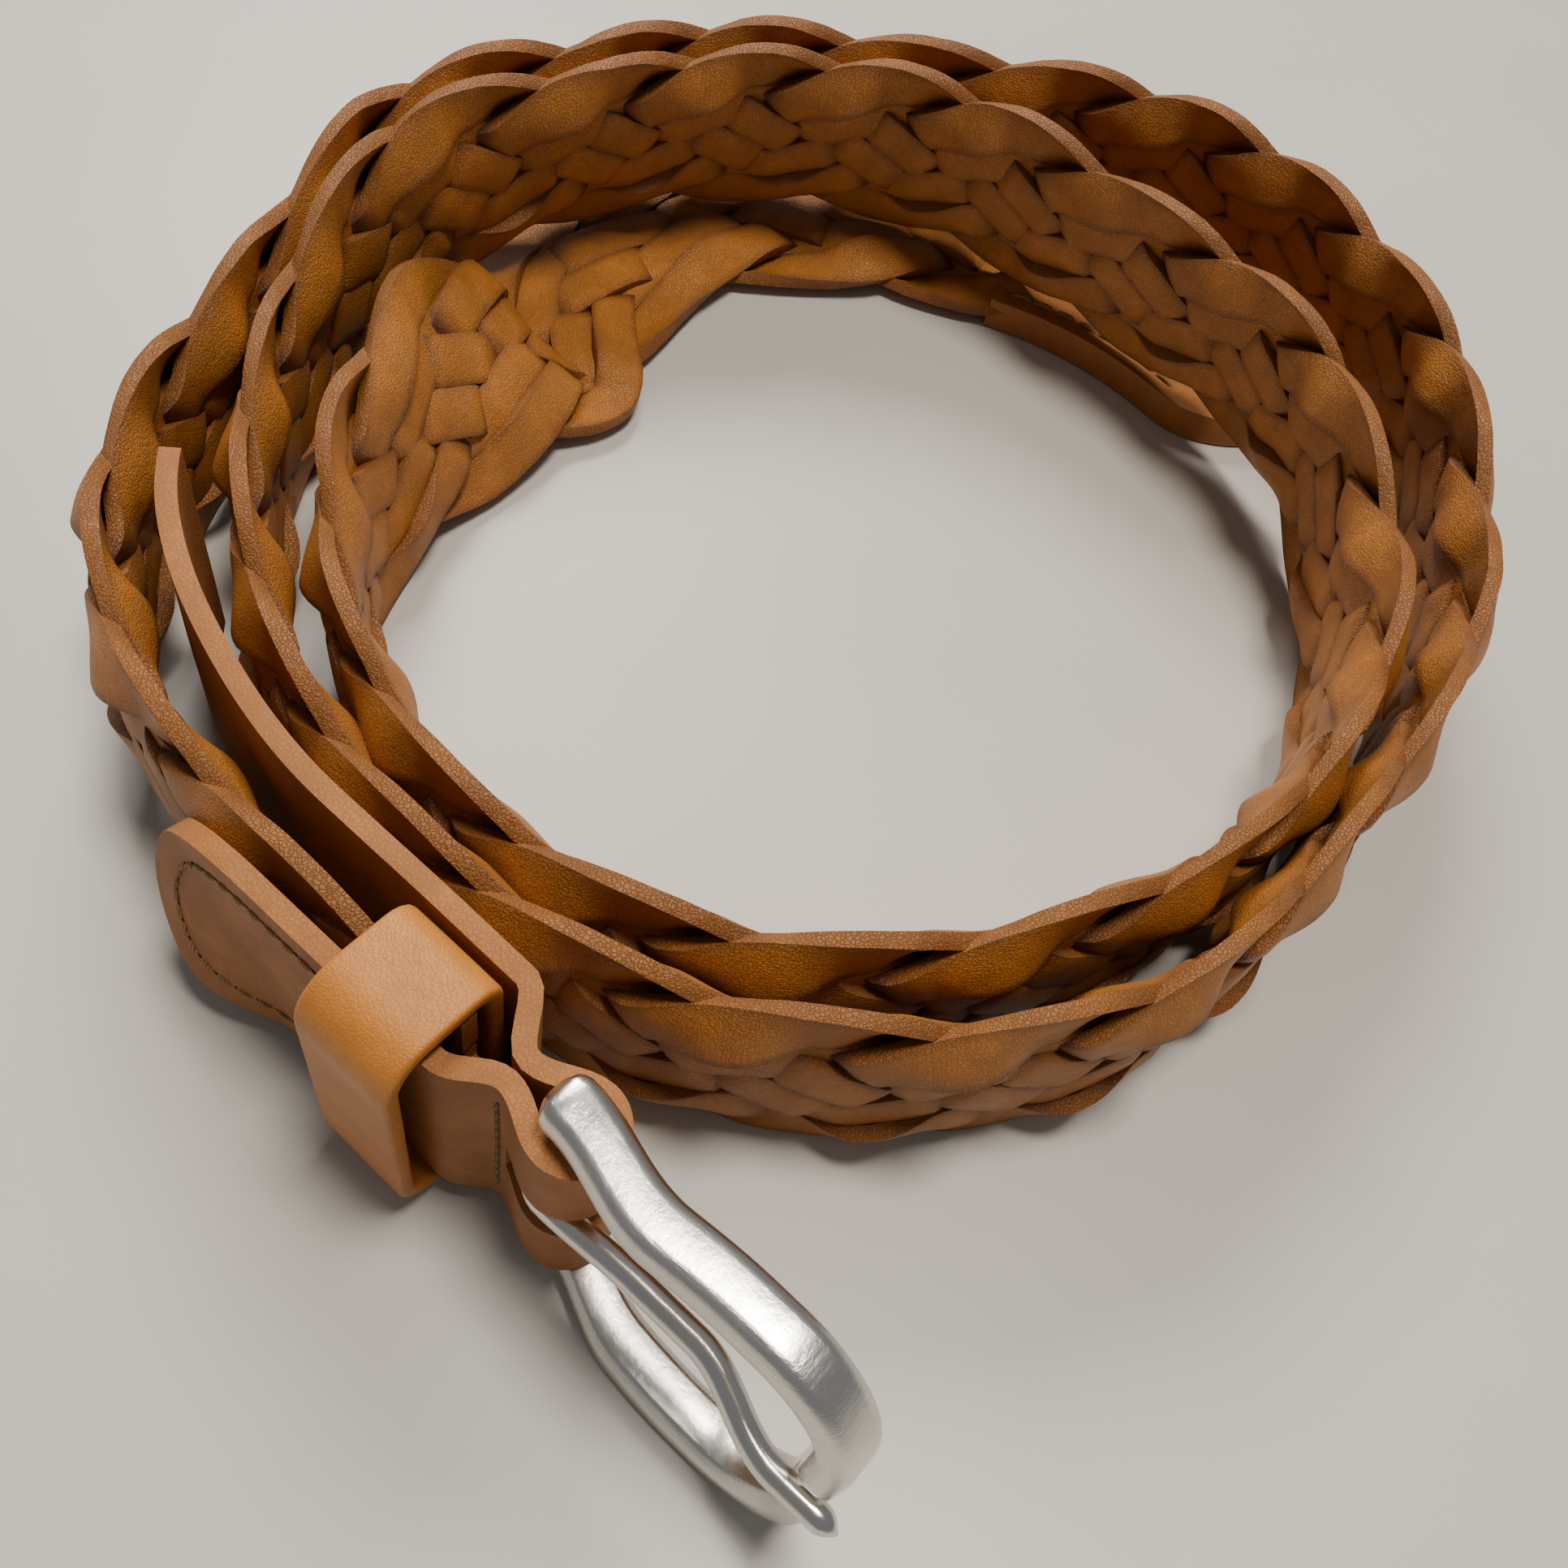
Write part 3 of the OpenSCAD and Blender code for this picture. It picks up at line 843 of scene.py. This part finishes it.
def sew(name, points, face):
    """Thread stitches between neighbouring needle holes."""
    stitches, holes = [], []
    for i, (a, b) in enumerate(zip(points, points[1:])):
        spine = []
        for j in range(9):
            f = STITCH_MARGIN + (1 - 2 * STITCH_MARGIN) * j / 8
            d = a[0] + (b[0] - a[0]) * f
            z = a[1] + (b[1] - a[1]) * f
            bow = math.sin(math.pi * j / 8)
            rest = face + splay(d, z - STRAP_MID)
            spine.append(at_bar(d, rest - 0.35 + 0.5 * bow ** 0.5, z))
        stitches.append(tube(f"stitch_{i}", spine, lambda j: THREAD_RADIUS, 8))
    # Each needle hole is a short near-black rod, painted shade of the hole's depth.
    for i, (d, z) in enumerate(points):
        rest = face + splay(d, z - STRAP_MID)
        spine = [at_bar(d, rest - 0.5 + 0.28 * j, z) for j in range(3)]
        holes.append(tube(f"hole_{i}", spine, lambda j: HOLE_RADII[j], 8))
    seam = join(stitches, name)
    pricks = join(holes, name + "_holes")
    for piece in (seam, pricks):
        smooth(piece, 60)
    return seam, pricks


class BELT_OT_seams(bpy.types.Operator):
    """Sew the tab and the fold of the strap"""
    bl_idname = "belt.sew_strap"
    bl_label = "Sew the strap"

    def execute(self, context):
        look = finishes()
        low = STRAP_Z + SEAM_IN
        high = STRAP_Z + STRAP_HEIGHT - SEAM_IN
        for name, path, face, node_name in (
                ("tab_seam", seam_points(), TAB_FACE, "tab_stitching"),
                ("fold_seam", [(PINCH_PLACE, low), (PINCH_PLACE, high)],
                 PINCH + HALF_STRAP, "fold_stitching")):
            seam, pricks = sew(name, even_steps(path, PITCH), face)
            dress(seam, "belt", "thread", look["thread"], replaces=(node_name,))
            dress(pricks, "belt", "strap_leather", look["hole"])
        return {"FINISHED"}


# ------------------------------------------------------------------ keeper
KEEPER_LOW = -2.4
KEEPER_HIGH = 8.2
KEEPER_WALL = 2.0
KEEPER_TALL = 33.0
KEEPER_TRIM = 0.2
KEEPER_THICK = 0.0019
OUTER_BEND = 4.8
INNER_BEND = 2.4


class BELT_OT_keeper(bpy.types.Operator):
    """Bend the keeper round the belt"""
    bl_idname = "belt.bend_keeper"
    bl_label = "Bend the keeper"

    def execute(self, context):
        wide = KEEPER_HIGH - KEEPER_LOW + KEEPER_WALL
        tall = KEEPER_TALL + KEEPER_WALL
        middle = (KEEPER_HIGH + KEEPER_LOW) / 2
        loop = []
        for cx, cy, start, bend in (
                (1, 1, 0, OUTER_BEND), (-1, 1, 90, INNER_BEND),
                (-1, -1, 180, INNER_BEND), (1, -1, 270, OUTER_BEND)):
            x = cx * (wide / 2 - bend)
            y = cy * (tall / 2 - bend)
            loop += [(x + bend * math.cos(math.radians(start + a)),
                      y + bend * math.sin(math.radians(start + a)))
                     for a in range(0, 91, 10)]
        loop.append(loop[0])
        loop = even_steps(loop, LINE_STEP)
        loop[-1] = loop[0]
        count = len(loop) - 1

        def place(u, v):
            n, z = loop[min(count, int(round(u * count)))]
            soft = 0.25 * math.sin(math.pi * v)
            belly = 1 + 0.012 * soft
            return at_bar(KEEPER_START + KEEPER_TRIM + v * (KEEPER_LONG - 2 * KEEPER_TRIM),
                          middle + n * belly, STRAP_MID + z * belly)

        piece, _ = grid_piece("keeper_band", count, 14, place, (0.1, 0.016))
        tidy_normals(piece, merge=1e-5)
        thicken(piece, KEEPER_THICK, 0.0005, 3)
        look = finishes()
        dress(piece, "keeper", "keeper_leather", look["keeper"], look["burnished"],
              replaces=("keeper_loop",))
        return {"FINISHED"}


# ------------------------------------------------------------------ buckle
REACH = 37.0
RIM = 4.2
RIM_THICK = 6.0
ARM_GAP = 0.6
ARM_END = -3.0
ARM_ROUND = -1.4
RIM_LOW = STRAP_Z - ARM_GAP - RIM / 2
RIM_HIGH = STRAP_Z + STRAP_HEIGHT + ARM_GAP + RIM / 2
NOSE = REACH - RIM / 2
CORNER = 10.0
BOW = 3.2
BOW_RUN = 14
NOTCH = 1.6
NOTCH_HALF = 2.2
FRAME_LEAN = 1.3
FRAME_LEAN_HEIGHT = 17.7
FRAME_LEAN_RUN = 22


def rim_bow(d):
    """The arms curve outwards from the bar and then run level to the nose."""
    return ease(0.0, BOW, (d + 1) / BOW_RUN)


def rim_twist(d, z):
    """The cast frame leans: its low arm stands further out than its top arm."""
    share = ease(0.0, 1.0, d / FRAME_LEAN_RUN)
    return FRAME_LEAN * (STRAP_MID - z) / FRAME_LEAN_HEIGHT * share


def rim_line():
    """Middle line of the frame as (distance, height), from arm end to arm end."""
    flat = NOSE - CORNER
    path = [(ARM_END, RIM_LOW), (flat, RIM_LOW)]
    path += [(flat + CORNER * math.cos(a), RIM_LOW + CORNER + CORNER * math.sin(a))
             for a in [math.radians(x) for x in range(275, 361, 5)]]
    path += [(flat + CORNER * math.cos(a), RIM_HIGH - CORNER + CORNER * math.sin(a))
             for a in [math.radians(x) for x in range(0, 91, 5)]]
    path += [(ARM_END, RIM_HIGH)]
    return even_steps(path, 0.9)


class BELT_OT_buckle(bpy.types.Operator):
    """Cast the bowed buckle frame"""
    bl_idname = "belt.cast_buckle"
    bl_label = "Cast the buckle frame"

    def execute(self, context):
        line = rim_line()
        count = len(line) - 1
        e = RIM / 2
        f = RIM_THICK / 2
        face = [(-e, 1.3 - f), (-e, f - 1.3), (-e * 0.78, f - 0.45), (-e * 0.3, f),
                (e * 0.4, f), (e, f - 0.9), (e, 0.9 - f), (e * 0.4, -f),
                (-e * 0.3, -f), (-e * 0.78, 0.45 - f)]
        sides = len(face)

        def place(u, v):
            i = min(count, int(round(u * count)))
            a = line[max(0, i - 1)]
            b = line[min(count, i + 1)]
            size = math.dist(a, b)
            side = (-(b[1] - a[1]) / size, (b[0] - a[0]) / size)
            c = face[int(round(v * sides)) % sides]
            run, high = line[i]
            dip = 0.0
            if run > NOSE - 1 and c[1] > 0:
                dip = NOTCH * math.exp(-((high - STRAP_MID) / NOTCH_HALF) ** 4)
            close = 1.0
            if run < ARM_ROUND:
                close = math.sqrt(max(0.09, 1 - ((run - ARM_ROUND) / 1.75) ** 2))
            d = run + side[0] * c[0] * close
            z = high + side[1] * c[0] * close
            return at_bar(-d, c[1] * close - dip + rim_bow(d) + rim_twist(d, z), z)

        piece, _ = grid_piece("cast_frame", count, sides, place, (0.1, 0.015))
        tidy_normals(piece, merge=1e-6, cap=True)
        add_modifier(piece, "BEVEL", width=0.0003, segments=2, limit_method="ANGLE",
                     angle_limit=math.radians(26))
        smooth(piece, 35)
        look = finishes()
        dress(piece, "buckle", "buckle_metal", look["metal"], replaces=("buckle_frame",))
        bar = bpy.data.objects["buckle_bar"]
        bar.data.materials.clear()
        bar.data.materials.append(look["wire"])
        return {"FINISHED"}


BAR_RADIUS = 1.6
WIRE = 1.5
WIRE_GAP = 0.15
PRONG_DIP = 2.7


class BELT_OT_prong(bpy.types.Operator):
    """Bend the prong round the bar"""
    bl_idname = "belt.bend_prong"
    bl_label = "Bend the prong"

    def execute(self, context):
        ring = BAR_RADIUS + WIRE_GAP + WIRE
        rest = rim_bow(NOSE) + RIM_THICK / 2 - NOTCH + WIRE + WIRE_GAP
        line = [(ring * math.cos(math.radians(a)), ring * math.sin(math.radians(a)))
                for a in range(330, 90, -8)]
        for i in range(1, 50):
            d = LINE_STEP * i
            n = ease(ring, PRONG_DIP, d / 12)
            line.append((d, n + ease(0.0, rest - PRONG_DIP, (d - 19) / 13)))
        last = len(line) - 1

        def radius(i):
            grow = min(1.0, 0.8 + i / 50)
            taper = min(1.0, math.sqrt(max(0.02, (last - i) / 2.2)))
            return WIRE * MM * grow * taper * (1.0 if i < last - 8 else 0.94)

        spine = [at_bar(-d, n, STRAP_MID) for d, n in line]
        piece = tube("bent_prong", spine, radius, 20)
        smooth(piece, 60)
        dress(piece, "prong", "prong_metal", finishes()["wire"], replaces=("prong",))
        return {"FINISHED"}


# --------------------------------------------------------------------- tip
TIP_LONG = 36.0
TIP_OVERLAP = 7
TIP_NOSE = 12
TIP_HALF = 15.3
TIP_THICK = 0.0052
TIP_STITCHES = 8
TIP_PITCH = 3.6
TIP_THREAD = 0.0004


class BELT_OT_tip(bpy.types.Operator):
    """Close the tail with its stitched leather tip"""
    bl_idname = "belt.close_tip"
    bl_label = "Close the tip"

    def execute(self, context):
        weave = context.scene.belt_sizes.weave_length / MM
        start = BRAID_START + braid_length(weave) - TIP_OVERLAP
        long = TIP_LONG + TIP_OVERLAP

        def place(u, v):
            d = u * long
            x = max(0.0, d - long + TIP_NOSE)
            half = TIP_HALF * math.sqrt(max(0.04, 1 - (x / (TIP_NOSE + 0.2)) ** 2))
            return on_belt(start + d, 16 + (2 * v - 1) * half, 0.0)

        piece, _ = grid_piece("leather_tip", 60, 30, place, (0.043, 0.031))
        thicken(piece, TIP_THICK, 0.0011, 3)
        look = finishes()
        dress(piece, "belt", "strap_leather", look["strap"], look["burnished"],
              replaces=("tip_tab",))
        parts = []
        for w in (3.5, 28.5):
            for i in range(TIP_STITCHES):
                spine = [on_belt(start + 3 + TIP_PITCH * i + 0.35 * j, w,
                                 -2.45 - 0.5 * math.sin(math.pi * j / 8) ** 0.5)
                         for j in range(9)]
                parts.append(tube(f"tip_stitch_{w}_{i}", spine, lambda j: TIP_THREAD, 8))
        seam = join(parts, "tip_seam")
        smooth(seam, 60)
        dress(seam, "belt", "thread", look["thread"], replaces=("tip_stitching",))
        return {"FINISHED"}


# ------------------------------------------------------------------- stage
def area_light(name, place, target, size, power, colour):
    deselect()
    bpy.ops.object.light_add(type="AREA", location=place)
    lamp = bpy.context.active_object
    lamp.name = name
    lamp.data.shape = "DISK"
    lamp.data.size = size
    lamp.data.energy = power
    lamp.data.color = colour
    aim = Vector(target) - Vector(place)
    lamp.rotation_euler = aim.to_track_quat("-Z", "Y").to_euler()


CAMERA_PLACE = (0.0023, -0.12704, 0.16475)
CAMERA_PITCH = 57.24
CAMERA_ROLL = -16.6
CAMERA_LENS = 34.66
FLOOR_SIZE = 3.0


class BELT_OT_stage(bpy.types.Operator):
    """Set the table top, the lights and the camera"""
    bl_idname = "belt.set_stage"
    bl_label = "Set the stage"

    def execute(self, context):
        deselect()
        bpy.ops.mesh.primitive_plane_add(size=FLOOR_SIZE, location=(0, 0, 0))
        floor = context.active_object
        floor.name = "table_top"
        material, tree, shader = start_material("Pale stone", Roughness=0.42)
        coords = tree.nodes.new("ShaderNodeTexCoord")
        cloud = node(tree, "ShaderNodeTexNoise", Scale=7.0, Detail=5.0, Roughness=0.55)
        tree.links.new(coords.outputs["Object"], cloud.inputs["Vector"])
        pale = tuple(context.scene.belt_colours.floor)
        tone = range_of(tree, cloud.outputs["Fac"], 0.35, 0.65)
        tree.links.new(colour_mix(tree, tone, tuple(c * 0.9 for c in pale), pale),
                       shader.inputs["Base Color"])
        floor.data.materials.append(material)

        world = bpy.data.worlds.new("Soft room")
        context.scene.world = world
        world.use_nodes = True
        sky = world.node_tree.nodes["Background"]
        sky.inputs["Color"].default_value = (0.95, 0.97, 1.0, 1.0)
        sky.inputs["Strength"].default_value = 0.2
        area_light("Window", (-0.35, 0.75, 0.85), (0, 0, 0.02), 0.5, 14.0, (1.0, 0.96, 0.9))
        area_light("Ceiling", (0.12, 0.02, 1.1), (0, 0, 0), 0.3, 11.0, (1.0, 0.93, 0.84))

        pitch = math.radians(CAMERA_PITCH)
        roll = math.radians(CAMERA_ROLL)
        level = Vector((1, 0, 0))
        rise = Vector((0, math.sin(pitch), math.cos(pitch)))
        ahead = Vector((0, math.cos(pitch), -math.sin(pitch)))
        right = level * math.cos(roll) - rise * math.sin(roll)
        up = level * math.sin(roll) + rise * math.cos(roll)
        lens = bpy.data.cameras.new("Camera")
        lens.sensor_width = 36.0
        lens.lens = CAMERA_LENS
        lens.clip_start = 0.01
        camera = bpy.data.objects.new("Camera", lens)
        context.scene.collection.objects.link(camera)
        turn = Matrix((right, up, -ahead)).transposed().to_4x4()
        camera.matrix_world = Matrix.Translation(CAMERA_PLACE) @ turn
        context.scene.camera = camera
        return {"FINISHED"}


# ------------------------------------------------------------------- panel
PIECES = (BELT_OT_strands, BELT_OT_strap, BELT_OT_seams, BELT_OT_keeper,
          BELT_OT_buckle, BELT_OT_prong, BELT_OT_tip, BELT_OT_stage)


class BELT_PT_panel(bpy.types.Panel):
    """Sizes, colours and steps of the belt"""
    bl_idname = "BELT_PT_panel"
    bl_label = "Belt"
    bl_space_type = "VIEW_3D"
    bl_region_type = "UI"
    bl_category = "Belt"

    def draw(self, context):
        for group in (context.scene.belt_sizes, context.scene.belt_colours):
            box = self.layout.box()
            for key in group.__annotations__:
                box.prop(group, key)
        for piece in PIECES:
            self.layout.operator(piece.bl_idname)


CLASSES = (BeltSizes, BeltColours, *PIECES, BELT_PT_panel)


def register():
    for item in CLASSES:
        bpy.utils.register_class(item)
    bpy.types.Scene.belt_sizes = PointerProperty(type=BeltSizes)
    bpy.types.Scene.belt_colours = PointerProperty(type=BeltColours)


def unregister():
    del bpy.types.Scene.belt_sizes
    del bpy.types.Scene.belt_colours
    for item in reversed(CLASSES):
        bpy.utils.unregister_class(item)


def main():
    register()
    bpy.ops.belt.weave_strands()
    bpy.ops.belt.fold_strap()
    bpy.ops.belt.sew_strap()
    bpy.ops.belt.bend_keeper()
    bpy.ops.belt.cast_buckle()
    bpy.ops.belt.bend_prong()
    bpy.ops.belt.close_tip()
    bpy.ops.belt.set_stage()


if __name__ == "__main__":
    main()
